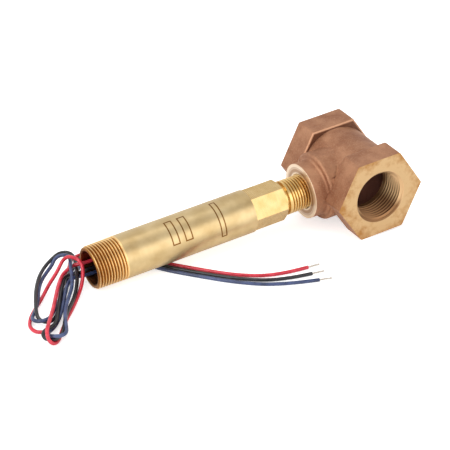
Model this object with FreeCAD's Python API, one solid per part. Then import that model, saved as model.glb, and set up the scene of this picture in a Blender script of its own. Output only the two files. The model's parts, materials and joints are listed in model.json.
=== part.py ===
import FreeCAD, Part
import math
import os

# Paddle flow switch, screwed into a bronze tee, with three flying leads. Millimetres.
#
# Everything is first built in the switch's own frame: the origin is the centre of the tee,
# the waterway runs along Y, and the switch leaves the tee along -X. A place along the switch
# is given as its station: the distance from the centre of the tee, which is -X.
# The finished parts are then laid down as the switch rests on a table: on the edges of the
# tee's hexagons and on the rim of the conduit thread.

# ---------------------------------------------------------------- driving dimensions
# Bronze tee, 1 inch pipe thread run, 1/2 inch pipe thread branch
tee_hex_af = 50.8            # across flats of the two wrench hexagons
tee_length = 66.8            # end to end along the waterway
tee_hex_length = 16.6
tee_body_radius = 23.9       # round cast body between the hexagons
tee_cast_round = 1.5         # rounding of the cast corners
boss_radius = 17.2           # branch boss
boss_face = 35.3             # station of the boss's machined face
shoulder_radius = 21.0       # thicker root of the boss
shoulder_face = 26.0         # station of the shoulder
boss_round = 1.6
waterway_radius = 16.8       # cored chamber that the vane swings in
port_bore_radius = 14.85     # tapping size of the 1 inch taper thread
port_thread_length = 18.0
port_mouth_radius = 16.75    # countersink at the mouth of each port
branch_throat_radius = 9.3   # unthreaded hole from the branch thread to the chamber

# Lower body: 1/2 inch pipe thread nipple, wrench hexagon, web and spigot, one brass piece
nipple_radius = 10.5         # mean radius over the crests of the taper thread
nipple_in_tee = 13.6         # screwed length
nipple_exposed = 15.7        # from the boss face to the hexagon
relief_radius = 9.0
relief_width = 2.4
switch_hex_af = 22.2
switch_hex_length = 22.7
hex_chamfer = 1.0
vane_bore_radius = 7.4
vane_bore_bottom = 50.0      # station of the web's wet face
web_thickness = 2.2          # solid metal that the two magnets act through
switch_bore_radius = 8.6
spigot_radius = 11.2         # screwed into the barrel
spigot_length = 12.0

# Upper body: the brass barrel with the 3/4 inch pipe thread for the conduit
barrel_radius = 13.335
barrel_length = 85.5
barrel_bore_radius = 10.2
conduit_radius = 13.03       # mean radius over the crests of the taper thread
conduit_thread_length = 19.4
conduit_chamfer = 1.0
bore_chamfer = 0.6
screwed_gap = 0.05           # between the simplified walls of two screwed pieces

# Outside pipe threads, drawn as rings of V grooves one pitch apart. The ports stay plain at
# their tapping size, which is the wall that a pipe's thread is matched to.
small_thread_pitch = 25.4 / 14       # 1/2 inch and 3/4 inch taper threads: 14 turns to the inch
small_thread_depth = 1.2
thread_half_angle_deg = 30.0

# O-ring between spigot and barrel
ring_section_radius = 0.9
ring_groove_width = 2.2
ring_groove_offset = 1.6     # from the hexagon's shoulder to the groove
ring_clearance = 0.04        # round the seated ring

# Vane, which swings on a cross pin at the nipple's mouth
vane_pin_radius = 1.0
vane_pin_station = 27.0
vane_swing_deg = 10.0
running_clearance = 0.05     # radial, pin in bore
hub_radius = 2.4
hub_half_width = 3.5
vane_arm_thickness = 2.0
vane_arm_half_width = 4.0
vane_stem_half_width = 1.8   # the part of the arm that carries the magnet
vane_arm_foot = 2.0          # station where the arm ends inside the waterway
blade_thickness = 0.5
blade_half_width = 8.5
blade_top = 13.0             # station of the blade's upper edge
blade_tip = 12.5             # how far the blade reaches past the tee's centre
leaf_half_width = 6.5
leaf_tip = 1.0               # station where the backing leaf ends
rivet_radius = 1.0
rivet_head_radius = 1.9
rivet_head_height = 0.7
rivet_spacing = 6.0
magnet_radius = 2.4
vane_magnet_length = 4.0
vane_magnet_gap = 1.2        # from the magnet's face to the web
cup_wall = 0.5
glue_gap = 0.04              # round a magnet in its cup

# Chassis that carries the snap switch and the magnet lever
flange_radius = 11.0         # clamped between spigot and barrel
flange_thickness = 1.5
cheek_thickness = 1.0
cheek_edge = 1.0             # cheek beyond the switch case on each side
lever_window_half_width = 2.4
lever_window_low = -3.0      # Y of the window's two ends
lever_window_high = 5.0

# Snap switch, subminiature size
case_length = 19.8
case_height = 9.1
case_width = 6.4
case_wall = 1.0
case_top = 4.1               # Y of the face that the plunger comes out of
case_start = 94.0            # station of the case's end nearest the tee
cover_thickness = 2.0
screw_pitch = 9.5
screw_from_end = 5.15
screw_from_foot = 2.9
screw_radius = 1.0
screw_hole_radius = 1.15
screw_head_radius = 1.8
screw_head_height = 1.2
cavity_height = 3.5
tab_width = 2.4
tab_thickness = 0.5
tab_length = 3.0
tab_pitch = 7.4
tab_from_end = 2.5
plunger_radius = 0.75
plunger_from_end = 7.0
plunger_height = 1.2         # above the case, when free
plunger_travel = 0.42
plunger_collar_radius = 1.2
plunger_collar_height = 0.5
blade_height = 1.8           # contact blade above the cavity's floor
contact_blade_thickness = 0.2
blade_roll_radius = 0.45     # rolled end that rocks in the common tab's notch
roll_clearance = 0.03
contact_height = 0.5         # of each button on its spring or rail
rail_thickness = 0.3
contact_half_width = 1.4
contact_radius = 1.0
contact_gap = 0.05           # between contacts that touch in use
contact_travel = 0.55
contact_from_end = 5.5       # contacts, from the far end of the case

# Magnet lever
lever_pin_radius = 0.8
lever_pin_station = 91.0
lever_pin_height = 3.0       # Y of the pin
lever_swing_deg = 2.6
lever_thickness = 0.8
lever_half_width = 1.6
lever_hub_radius = 1.7
lever_contact_gap = 0.12     # between the free plunger and the lever
lever_magnet_length = 3.8
lever_magnet_gap = 1.2       # from the web
side_clearance = 0.1

# Insulating sleeve, lead seal and leads
sleeve_gap = 0.1
sleeve_thickness = 0.5
sleeve_length = 31.0
seal_start = 128.0
seal_length = 10.0
seal_gap = 0.03
lead_radius = 1.1
lead_side_step = 2.7         # Z of the two outer leads, beside the middle tab's
lead_under_case = 1.9        # leads' axes below the case's foot, along the tabs
stripped_length = 2.0        # bare conductor between a tab and its lead's insulation
root_overrun = 12.0          # a lead's straight stretch beyond the conduit's rim, at most
strand_radius = 0.6
strand_length = 8.0
inner_strand_radius = 0.45
table_gap = 0.05             # between a lead and the table
lead_colours = ("red", "black", "blue")

# The leads' three places in the barrel's bore, as (Y, Z) from its axis
root_places = {"red": (5.2, -7.0), "black": (2.0, -8.5), "blue": (-1.6, -8.6)}

# The leads on the table, as (X, Y) of the laid-down switch, from the folded hank, behind the
# conduit thread and under the barrel, to their bare ends
tail_routes = {
    "red": [(-108.0, 27.0), (-100.0, 43.0), (-80.5, 43.5), (-63.0, 23.0), (-56.0, 3.5),
            (-39.0, -16.5), (-22.0, -34.0), (-3.0, -44.5), (17.0, -45.4)],
    "black": [(-106.5, 23.0), (-97.5, 39.8), (-81.7, 40.3), (-66.0, 22.0), (-58.5, 0.8),
              (-41.2, -19.4), (-24.2, -37.2), (-5.0, -50.0), (15.4, -52.6)],
    "blue": [(-107.0, 17.5), (-95.0, 36.6), (-83.0, 37.1), (-69.0, 21.0), (-61.0, -1.9),
             (-43.5, -22.3), (-26.5, -40.5), (-7.0, -54.5), (15.4, -60.6)],
}

# The folded hank of the three leads: an oval pad on the table
hank_centre = (-129.0, -3.3)
hank_length = 92.0
hank_width = 26.0
hank_height = 7.0
hank_heading_deg = 240.0
hank_round = 2.0

# ---------------------------------------------------------------- sizes that follow
nipple_mouth = boss_face - nipple_in_tee
hex_start = boss_face + nipple_exposed
hex_end = hex_start + switch_hex_length
barrel_end = hex_end + barrel_length
conduit_end = barrel_end + conduit_thread_length
spigot_end = hex_end + spigot_length
flange_end = spigot_end + flange_thickness
switch_bore_bottom = vane_bore_bottom + web_thickness
run_half = tee_length / 2
hex_corner_radius = tee_hex_af / math.sqrt(3)
case_end = case_start + case_length
case_foot = case_top - case_height
cavity_roof = case_top - case_wall
cavity_floor = cavity_roof - cavity_height
half_case = case_width / 2
plunger_station = case_start + plunger_from_end
plunger_top = case_top + plunger_height
lever_underside = plunger_top + lever_contact_gap

V = FreeCAD.Vector


# ---------------------------------------------------------------- helpers
def point(station, y=0.0, z=0.0):
    """A point of the switch's frame, from its station along the switch."""
    return V(-station, y, z)


def rod(start, end, radius, y=0.0, z=0.0):
    """A round bar along the switch, between two stations."""
    return Part.makeCylinder(radius, end - start, point(start, y, z), V(-1, 0, 0))


def cross_rod(station, y, low, high, radius):
    """A round bar across the switch, along Z."""
    return Part.makeCylinder(radius, high - low, point(station, y, low), V(0, 0, 1))


def side_rod(station, z, low, high, radius):
    """A round bar across the switch, along Y."""
    return Part.makeCylinder(radius, high - low, point(station, low, z), V(0, 1, 0))


def block(start, end, y_low, y_high, z_low, z_high):
    """A box between two stations."""
    return Part.makeBox(end - start, y_high - y_low, z_high - z_low, V(-end, y_low, z_low))


def turned(outline):
    """A turned piece: the outline's (station, radius) points, revolved about the switch's axis."""
    corners = [V(-station, radius, 0) for station, radius in outline]
    face = Part.Face(Part.makePolygon(corners + corners[:1]))
    return face.revolve(V(0, 0, 0), V(1, 0, 0), 360)


def thread_rings(start, end, crest, pitch, depth):
    """Outline points of a thread's V grooves between two stations."""
    half = depth * math.tan(math.radians(thread_half_angle_deg))
    turns = int((end - start) / pitch)
    first = (start + end - (turns - 1) * pitch) / 2
    points = []
    for turn in range(turns):
        middle = first + turn * pitch
        points += [(middle - half, crest), (middle, crest - depth), (middle + half, crest)]
    return points


def plate(outline, z_low, z_high):
    """A flat piece: the outline's (station, y) points, given a thickness along Z."""
    corners = [V(-station, y, z_low) for station, y in outline]
    face = Part.Face(Part.makePolygon(corners + corners[:1]))
    return face.extrude(V(0, 0, z_high - z_low))


def hexagon(across_flats, base, direction, corner, length):
    """A hexagonal bar from base along direction, with one corner towards corner."""
    radius = across_flats / math.sqrt(3)
    other = direction.cross(corner)
    corners = []
    for i in range(6):
        turn = math.radians(60 * i)
        corners.append(base + corner * (radius * math.cos(turn)) + other * (radius * math.sin(turn)))
    return Part.Face(Part.makePolygon(corners + corners[:1])).extrude(direction * length)


def routed(points, radius):
    """A lead along straight runs joined by tangent arcs. Returns the solid, its length and its arcs."""
    edges = []
    radii = []
    start = points[0]
    for before, corner, after in zip(points, points[1:], points[2:]):
        come = (corner - before).normalize()
        leave = (after - corner).normalize()
        half_turn = come.getAngle(leave) / 2
        shorter = min((corner - before).Length, (after - corner).Length)
        setback = 0.45 * shorter
        bend = setback / math.tan(half_turn)
        radii.append(round(bend, 1))
        arc_start = corner - come * setback
        arc_end = corner + leave * setback
        inward = (leave - come).normalize()
        middle = corner + inward * (bend / math.cos(half_turn) - bend)
        edges.append(Part.makeLine(start, arc_start))
        edges.append(Part.Arc(arc_start, middle, arc_end).toShape())
        start = arc_end
    edges.append(Part.makeLine(start, points[-1]))
    path = Part.Wire(edges)
    section = Part.Wire(Part.makeCircle(radius, points[0], points[1] - points[0]))
    return path.makePipeShell([section], True, True), path.Length, radii


# ---------------------------------------------------------------- tee
def make_tee():
    """Bronze casting: two hexagons on a round body, and the branch boss on its thicker shoulder."""
    casting = Part.makeCylinder(tee_body_radius, tee_length - 4, V(0, 2 - run_half, 0), V(0, 1, 0))
    for side in (-1, 1):
        base = V(0, side * run_half, 0)
        wrench_hex = hexagon(tee_hex_af, base, V(0, -side, 0), V(1, 0, 0), tee_hex_length)
        inner = run_half - tee_hex_length
        corners = []
        for edge in wrench_hex.Edges:
            ends = [abs(v.Point.y) for v in edge.Vertexes]
            along = abs(ends[0] - ends[1]) > 1
            on_inner_face = max(ends) < inner + 0.1
            if along or on_inner_face:
                corners.append(edge)
        casting = casting.fuse(wrench_hex.makeFillet(tee_cast_round, corners))
    casting = casting.fuse(boss_form())

    for side in (-1, 1):
        mouth = V(0, side * run_half, 0)
        inward = V(0, -side, 0)
        countersink = port_mouth_radius - port_bore_radius
        casting = casting.cut(Part.makeCone(port_mouth_radius, port_bore_radius, countersink, mouth, inward))
        depth = countersink + port_thread_length
        casting = casting.cut(Part.makeCylinder(port_bore_radius, depth, mouth, inward))
    chamber = run_half - (port_mouth_radius - port_bore_radius) - port_thread_length
    casting = casting.cut(Part.makeCylinder(waterway_radius, 2 * chamber, V(0, -chamber, 0), V(0, 1, 0)))

    seat = nipple_radius + screwed_gap
    mouth_width = 0.8
    branch = turned([
        (0, 0), (0, branch_throat_radius), (nipple_mouth, branch_throat_radius),
        (nipple_mouth, seat), (boss_face - mouth_width, seat), (boss_face, seat + mouth_width),
        (boss_face + 1, seat + mouth_width), (boss_face + 1, 0)])
    return casting.cut(branch).removeSplitter()


def boss_form():
    """The branch boss as turned: a machined face, a straight boss and a rounded shoulder."""
    root = 4.0
    r = min(boss_round, 0.45 * (shoulder_radius - boss_radius))
    slope = math.sqrt(0.5)
    fillet_centre = (shoulder_face + r, boss_radius + r)
    crown_centre = (shoulder_face - r, shoulder_radius - r)

    def at(station, radius):
        return V(-station, radius, 0)

    edges = [
        Part.makeLine(at(root, 0), at(boss_face, 0)),
        Part.makeLine(at(boss_face, 0), at(boss_face, boss_radius)),
        Part.makeLine(at(boss_face, boss_radius), at(shoulder_face + r, boss_radius)),
        Part.Arc(at(shoulder_face + r, boss_radius),
                 at(fillet_centre[0] - r * slope, fillet_centre[1] - r * slope),
                 at(shoulder_face, boss_radius + r)).toShape(),
        Part.makeLine(at(shoulder_face, boss_radius + r), at(shoulder_face, shoulder_radius - r)),
        Part.Arc(at(shoulder_face, shoulder_radius - r),
                 at(crown_centre[0] + r * slope, crown_centre[1] + r * slope),
                 at(shoulder_face - r, shoulder_radius)).toShape(),
        Part.makeLine(at(shoulder_face - r, shoulder_radius), at(root, shoulder_radius)),
        Part.makeLine(at(root, shoulder_radius), at(root, 0)),
    ]
    return Part.Face(Part.Wire(edges)).revolve(V(0, 0, 0), V(1, 0, 0), 360)


# ---------------------------------------------------------------- switch bodies
def make_lower_body():
    """Nipple, hexagon and spigot in one, with a blind bore on each side of the solid web."""
    groove = hex_end + ring_groove_offset
    groove_radius = spigot_radius + screwed_gap - 2 * (ring_section_radius + ring_clearance)
    relief = hex_start - relief_width
    outside = turned([
        (nipple_mouth, 0), (nipple_mouth, nipple_radius - 1), (nipple_mouth + 1, nipple_radius),
        *thread_rings(boss_face, relief, nipple_radius, small_thread_pitch, small_thread_depth),
        (relief, nipple_radius), (relief, relief_radius),
        (hex_start, relief_radius), (hex_start, switch_hex_af / 2),
        (hex_start + hex_chamfer, barrel_radius), (hex_end, barrel_radius),
        (hex_end, spigot_radius), (groove, spigot_radius), (groove, groove_radius),
        (groove + ring_groove_width, groove_radius), (groove + ring_groove_width, spigot_radius),
        (spigot_end, spigot_radius), (spigot_end, 0)])
    flats = hexagon(switch_hex_af, point(hex_start), V(-1, 0, 0), V(0, 1, 0), switch_hex_length)
    wrench_part = outside.common(flats)
    around = 2 * barrel_radius
    shaft = outside.cut(block(hex_start, hex_end, -around, around, -around, around))
    body = shaft.fuse(wrench_part)
    body = body.cut(rod(nipple_mouth, vane_bore_bottom, vane_bore_radius))
    body = body.cut(rod(switch_bore_bottom, spigot_end, switch_bore_radius))
    pin_hole = vane_pin_radius + 0.01
    body = body.cut(cross_rod(vane_pin_station, 0, -2 * nipple_radius, 2 * nipple_radius, pin_hole))
    return body.removeSplitter()


def make_upper_body():
    """Barrel: socket for the spigot, long bore and the conduit thread."""
    socket = spigot_radius + screwed_gap
    rim = conduit_end - conduit_chamfer
    return turned([
        (hex_end, socket), (hex_end, barrel_radius), (barrel_end, barrel_radius),
        (barrel_end, conduit_radius),
        *thread_rings(barrel_end, rim, conduit_radius, small_thread_pitch, small_thread_depth),
        (rim, conduit_radius),
        (conduit_end, conduit_radius - conduit_chamfer), (conduit_end, barrel_bore_radius + bore_chamfer),
        (conduit_end - bore_chamfer, barrel_bore_radius), (flange_end, barrel_bore_radius),
        (flange_end, socket)])


def make_body_o_ring():
    """O-ring in the spigot's groove, a hair clear of the groove and of the socket."""
    middle = hex_end + ring_groove_offset + ring_groove_width / 2
    radius = spigot_radius + screwed_gap - ring_section_radius - ring_clearance
    return Part.makeTorus(radius, ring_section_radius, point(middle), V(1, 0, 0))


# ---------------------------------------------------------------- vane
def make_vane_pivot_pin():
    """Cross pin through the nipple, with its ends below the thread's root."""
    half = nipple_radius - 1.5
    return cross_rod(vane_pin_station, 0, -half, half, vane_pin_radius)


def make_vane_carrier():
    """The swinging arm: hub on the pin, stem with the magnet cup, and flat arm for the blade."""
    half = vane_arm_thickness / 2
    face = vane_bore_bottom - vane_magnet_gap
    cup_radius = magnet_radius + glue_gap + cup_wall
    cup_foot = face - vane_magnet_length - cup_wall
    arm = block(vane_arm_foot, vane_pin_station, -half, half, -vane_arm_half_width, vane_arm_half_width)
    stem = block(vane_pin_station, cup_foot + 1, -half, half, -vane_stem_half_width, vane_stem_half_width)
    hub = cross_rod(vane_pin_station, 0, -hub_half_width, hub_half_width, hub_radius)
    cup = rod(cup_foot, face, cup_radius)
    carrier = arm.fuse([stem, hub, cup])
    carrier = carrier.cut(rod(face - vane_magnet_length, face + 1, magnet_radius + glue_gap))
    bore = vane_pin_radius + running_clearance
    carrier = carrier.cut(cross_rod(vane_pin_station, 0, -2 * hub_half_width, 2 * hub_half_width, bore))
    for station in rivet_stations():
        carrier = carrier.cut(side_rod(station, 0, -half - 1, half + 1, rivet_radius + 0.02))
    return carrier.removeSplitter()


def rivet_stations():
    middle = (blade_top + leaf_tip) / 2
    return (middle - rivet_spacing / 2, middle + rivet_spacing / 2)


def vane_leaf(top, tip, half_width, y_low):
    """A leaf of spring sheet with a round tip and the two rivet holes."""
    bend = tip + half_width
    leaf = block(bend, top, y_low, y_low + blade_thickness, -half_width, half_width)
    leaf = leaf.fuse(side_rod(bend, 0, y_low, y_low + blade_thickness, half_width))
    for station in rivet_stations():
        leaf = leaf.cut(side_rod(station, 0, y_low - 1, y_low + 2, rivet_radius + 0.02))
    return leaf.removeSplitter()


def make_vane_blade():
    """The long leaf that the flow pushes, on the upstream face of the arm."""
    return vane_leaf(blade_top, -blade_tip, blade_half_width, vane_arm_thickness / 2)


def make_vane_backing_leaf():
    """Short stiffening leaf over the blade's root."""
    return vane_leaf(blade_top, leaf_tip - 2.5, leaf_half_width, vane_arm_thickness / 2 + blade_thickness)


def make_vane_rivets():
    """Two rivets through leaf, blade and arm."""
    low = -vane_arm_thickness / 2
    high = vane_arm_thickness / 2 + 2 * blade_thickness
    rivets = []
    for station in rivet_stations():
        shank = side_rod(station, 0, low, high, rivet_radius)
        under = side_rod(station, 0, low - rivet_head_height, low, rivet_head_radius)
        over = side_rod(station, 0, high, high + rivet_head_height, rivet_head_radius)
        rivets.append(shank.fuse([under, over]).removeSplitter())
    return Part.makeCompound(rivets)


def make_vane_magnet():
    face = vane_bore_bottom - vane_magnet_gap
    return rod(face - vane_magnet_length, face, magnet_radius)


# ---------------------------------------------------------------- switch side
def make_switch_chassis():
    """Flange clamped between spigot and barrel, with two cheeks that hold the snap switch."""
    flange = rod(spigot_end, flange_end, flange_radius)
    window = block(spigot_end - flange_thickness, flange_end + flange_thickness,
                   lever_window_low, lever_window_high, -lever_window_half_width, lever_window_half_width)
    chassis = flange.cut(window)
    for side in (-1, 1):
        inner = side * half_case
        outer = side * (half_case + cheek_thickness)
        cheek = block(flange_end - 0.5, case_end + cheek_edge, case_foot, case_top,
                      min(inner, outer), max(inner, outer))
        chassis = chassis.fuse(cheek)
    reach = half_case + cheek_thickness + 1
    for station, y in screw_places():
        chassis = chassis.cut(cross_rod(station, y, -reach, reach, screw_radius + 0.03))
    pin_hole = lever_pin_radius + 0.01
    chassis = chassis.cut(cross_rod(lever_pin_station, lever_pin_height, -reach, reach, pin_hole))
    return chassis.removeSplitter()


def screw_places():
    y = case_foot + screw_from_foot
    first = case_start + screw_from_end
    return ((first, y), (first + screw_pitch, y))


def tab_station(index):
    return case_start + tab_from_end + index * tab_pitch


def case_cavity(z_low, z_high):
    return block(case_start + case_wall, case_end - case_wall, cavity_floor, cavity_roof, z_low, z_high)


def make_switch_case():
    """Moulded base of the snap switch: open on one side, with slots for its tabs."""
    split = half_case - cover_thickness
    case = block(case_start, case_end, case_foot, case_top, -half_case, split)
    case = case.cut(case_cavity(case_wall - half_case, split + 1))
    for station, y in screw_places():
        case = case.cut(cross_rod(station, y, -half_case - 1, half_case + 1, screw_hole_radius))
    for index in range(3):
        middle = tab_station(index)
        slot = block(middle - tab_width / 2 - 0.02, middle + tab_width / 2 + 0.02,
                     case_foot - 1, cavity_floor + 1, -tab_thickness / 2 - 0.02, tab_thickness / 2 + 0.02)
        case = case.cut(slot)
    case = case.cut(side_rod(plunger_station, 0, cavity_roof - 1, case_top + 1, plunger_radius + 0.08))
    return case.removeSplitter()


def make_switch_cover():
    """Lid of the snap switch, which closes its cavity."""
    split = half_case - cover_thickness
    cover = block(case_start, case_end, case_foot, case_top, split, half_case)
    cover = cover.cut(case_cavity(split - 1, half_case - case_wall))
    for station, y in screw_places():
        cover = cover.cut(cross_rod(station, y, -half_case - 1, half_case + 1, screw_hole_radius))
    return cover.removeSplitter()


def make_switch_screws():
    """Two screws through one cheek, the case and the other cheek."""
    reach = half_case + cheek_thickness
    screws = []
    for station, y in screw_places():
        shank = cross_rod(station, y, -reach - 0.4, reach, screw_radius)
        head = cross_rod(station, y, reach, reach + screw_head_height, screw_head_radius)
        screws.append(shank.fuse(head).removeSplitter())
    return Part.makeCompound(screws)


def blade_level():
    """Y of the contact blade's underside, when its contact touches the upper one."""
    return cavity_floor + blade_height


def blade_hinge_station():
    """Axis of the contact blade's rolled end, over the middle of the common tab."""
    return tab_station(0)


def contact_station():
    return case_end - contact_from_end


def make_terminal_common():
    """Solder tab with a round notch in its top, where the contact blade's rolled end rocks."""
    middle = tab_station(0)
    half = tab_width / 2
    axis_level = blade_level() + contact_blade_thickness / 2
    top = blade_level() - 3 * contact_gap
    tab = block(middle - half, middle + half, case_foot - tab_length, top,
                -tab_thickness / 2, tab_thickness / 2)
    notch = blade_roll_radius + roll_clearance
    return tab.cut(cross_rod(middle, axis_level, -tab_thickness, tab_thickness, notch))


def make_terminal_open():
    """Middle tab: runs along the cavity's floor to the lower contact."""
    middle = tab_station(1)
    half = tab_width / 2
    contact = contact_station()
    rail_top = cavity_floor + rail_thickness
    tab = block(middle - half, middle + half, case_foot - tab_length, rail_top,
                -tab_thickness / 2, tab_thickness / 2)
    rail = block(middle - half, contact + contact_radius, cavity_floor, rail_top,
                 -contact_radius, contact_radius)
    top = blade_level() - contact_height - 2 * contact_gap - contact_travel
    button = side_rod(contact, 0, rail_top, top, contact_radius)
    return tab.fuse([rail, button]).removeSplitter()


def make_terminal_closed():
    """Far tab: rises along the end wall and reaches back over the blade with the upper contact."""
    middle = tab_station(2)
    half = tab_width / 2
    contact = contact_station()
    wall = case_end - case_wall
    roof = cavity_roof - side_clearance
    rail_top = cavity_floor + rail_thickness
    rail_foot = roof - rail_thickness
    tab = block(middle - half, middle + half, case_foot - tab_length, rail_top,
                -tab_thickness / 2, tab_thickness / 2)
    foot = block(middle, wall, cavity_floor, rail_top, -tab_thickness / 2, tab_thickness / 2)
    post = block(wall - rail_thickness, wall, cavity_floor, roof, -tab_thickness / 2, tab_thickness / 2)
    rail = block(contact - contact_radius, wall, rail_foot, roof, -contact_radius, contact_radius)
    bottom = blade_level() + contact_blade_thickness + contact_height + contact_gap
    button = side_rod(contact, 0, bottom, rail_foot, contact_radius)
    return tab.fuse([foot, post, rail, button]).removeSplitter()


def make_contact_blade():
    """Spring blade: a rolled end on the hinge's axis, and a two-faced contact at the free end."""
    level = blade_level()
    top = level + contact_blade_thickness
    hinge = blade_hinge_station()
    contact = contact_station()
    half = contact_half_width
    blade = block(hinge, contact + contact_radius, level, top, -half, half)
    roll = cross_rod(hinge, (level + top) / 2, -half, half, blade_roll_radius)
    button = side_rod(contact, 0, level - contact_height, top + contact_height, contact_radius)
    return blade.fuse([roll, button]).removeSplitter()


def make_switch_plunger():
    """Plunger with the collar that keeps it in the case."""
    lever_share = (plunger_station - blade_hinge_station()) / (contact_station() - blade_hinge_station())
    drop = plunger_travel - contact_travel * lever_share + 3 * contact_gap
    foot = blade_level() + contact_blade_thickness + drop
    stem = side_rod(plunger_station, 0, foot, plunger_top, plunger_radius)
    collar = side_rod(plunger_station, 0, foot, foot + plunger_collar_height, plunger_collar_radius)
    return stem.fuse(collar).removeSplitter()


def make_magnet_lever():
    """Bent strip on its pin: the magnet hangs over the web, the short arm lies over the plunger."""
    t = lever_thickness
    face = switch_bore_bottom + lever_magnet_gap
    cup_radius = magnet_radius + glue_gap + cup_wall
    cup_top = face + lever_magnet_length + cup_wall
    knee = spigot_end - 2
    low = lever_underside
    over = plunger_station + 2.5
    rise = case_start + 1
    strip = plate([
        (cup_top - 0.3, -t / 2), (knee, -t / 2), (lever_pin_station, lever_pin_height - t / 2),
        (rise, low), (over, low), (over, low + t), (rise - t / 2, low + t),
        (lever_pin_station - t / 2, lever_pin_height + t / 2), (knee - t / 2, t / 2),
        (cup_top - 0.3, t / 2)], -lever_half_width, lever_half_width)
    half = half_case - side_clearance
    hub = cross_rod(lever_pin_station, lever_pin_height, -half, half, lever_hub_radius)
    lever = strip.fuse([hub, rod(face, cup_top, cup_radius)])
    lever = lever.cut(rod(face - 1, face + lever_magnet_length, magnet_radius + glue_gap))
    bore = lever_pin_radius + running_clearance
    lever = lever.cut(cross_rod(lever_pin_station, lever_pin_height, -2 * half, 2 * half, bore))
    return lever.removeSplitter()


def make_lever_magnet():
    face = switch_bore_bottom + lever_magnet_gap
    return rod(face, face + lever_magnet_length, magnet_radius)


def make_lever_pivot_pin():
    reach = half_case + cheek_thickness
    return cross_rod(lever_pin_station, lever_pin_height, -reach, reach, lever_pin_radius)


def make_insulating_sleeve():
    """Fibre tube between the live tabs and the barrel, standing on the flange."""
    outer = barrel_bore_radius - sleeve_gap
    tube = rod(flange_end, flange_end + sleeve_length, outer)
    return tube.cut(rod(flange_end - 1, flange_end + sleeve_length + 1, outer - sleeve_thickness))


def make_lead_seal():
    """Potted plug that the leads pass through."""
    return rod(seal_start, seal_start + seal_length, barrel_bore_radius - seal_gap)


def make_inner_lead(index):
    """A lead from its solder tab to the seal: insulated, with its bare end against the tab."""
    z = (1, -1, 0)[index] * lead_side_step
    y = case_foot - lead_under_case
    tab_edge = tab_station(index) + tab_width / 2
    start = tab_edge + stripped_length
    insulated = rod(start, seal_start, lead_radius, y, z)
    contact = point(tab_edge, y, 0.0)
    reach = point(start + stripped_length / 4, y, z) - contact
    bare = Part.makeCylinder(inner_strand_radius, reach.Length, contact, reach)
    side = lead_radius
    bare = bare.cut(block(case_start, tab_edge, y - side, y + side, -side, side))
    return insulated.fuse(bare).removeSplitter()


# ---------------------------------------------------------------- laying the switch down
def rest_tilt():
    """The angle at which the tee's rounded corner and the conduit thread's rim both touch the table."""
    inset = hex_corner_radius - tee_cast_round / math.cos(math.radians(30))
    corner_x = -inset / 2
    corner_z = -inset * math.sqrt(3) / 2
    rim_x = -(conduit_end - conduit_chamfer)
    rim_z = -conduit_radius
    run = corner_x - rim_x
    rise = rim_z - corner_z
    return math.degrees(math.atan2(rise, run) + math.asin(tee_cast_round / math.hypot(run, rise)))


makers = {
    "tee_casting": make_tee,
    "lower_body": make_lower_body,
    "upper_body": make_upper_body,
    "body_o_ring": make_body_o_ring,
    "vane_pivot_pin": make_vane_pivot_pin,
    "vane_carrier": make_vane_carrier,
    "vane_blade": make_vane_blade,
    "vane_backing_leaf": make_vane_backing_leaf,
    "vane_rivets": make_vane_rivets,
    "vane_magnet": make_vane_magnet,
    "switch_chassis": make_switch_chassis,
    "switch_case": make_switch_case,
    "switch_cover": make_switch_cover,
    "switch_screws": make_switch_screws,
    "terminal_common": make_terminal_common,
    "terminal_open": make_terminal_open,
    "terminal_closed": make_terminal_closed,
    "contact_blade": make_contact_blade,
    "switch_plunger": make_switch_plunger,
    "magnet_lever": make_magnet_lever,
    "lever_magnet": make_lever_magnet,
    "lever_pivot_pin": make_lever_pivot_pin,
    "insulating_sleeve": make_insulating_sleeve,
    "lead_seal": make_lead_seal,
}

parts = {name: maker() for name, maker in makers.items()}
for order, colour in enumerate(lead_colours):
    parts["inner_lead_" + colour] = make_inner_lead(order)

tilt = rest_tilt()
for shape in parts.values():
    shape.rotate(V(0, 0, 0), V(0, -1, 0), tilt)
lying = Part.makeCompound(list(parts.values())).optimalBoundingBox(False, False)
to_table = V(-(lying.XMin + lying.XMax) / 2, 0, -lying.ZMin)
for shape in parts.values():
    shape.translate(to_table)


def laid_down(station, y, z):
    """A point of the switch's frame, after it is laid on the table."""
    c = math.cos(math.radians(tilt))
    s = math.sin(math.radians(tilt))
    return V(-station * c - z * s, y, z * c - station * s) + to_table


# ---------------------------------------------------------------- leads on the table
def make_hank():
    """The folded leads' outer shape: an oval pad, rounded at its top edge."""
    x, y = hank_centre
    heading = math.radians(hank_heading_deg)
    oval = Part.Ellipse(V(0, 0, 0), hank_length / 2, hank_width / 2).toShape()
    pad = Part.Face(Part.Wire(oval)).extrude(V(0, 0, hank_height - table_gap))
    top = [e for e in pad.Edges if e.BoundBox.ZMin > hank_height / 2]
    pad = pad.makeFillet(hank_round, top)
    pad.rotate(V(0, 0, 0), V(0, 0, 1), math.degrees(heading))
    pad.translate(V(x, y, table_gap))
    return pad


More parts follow.
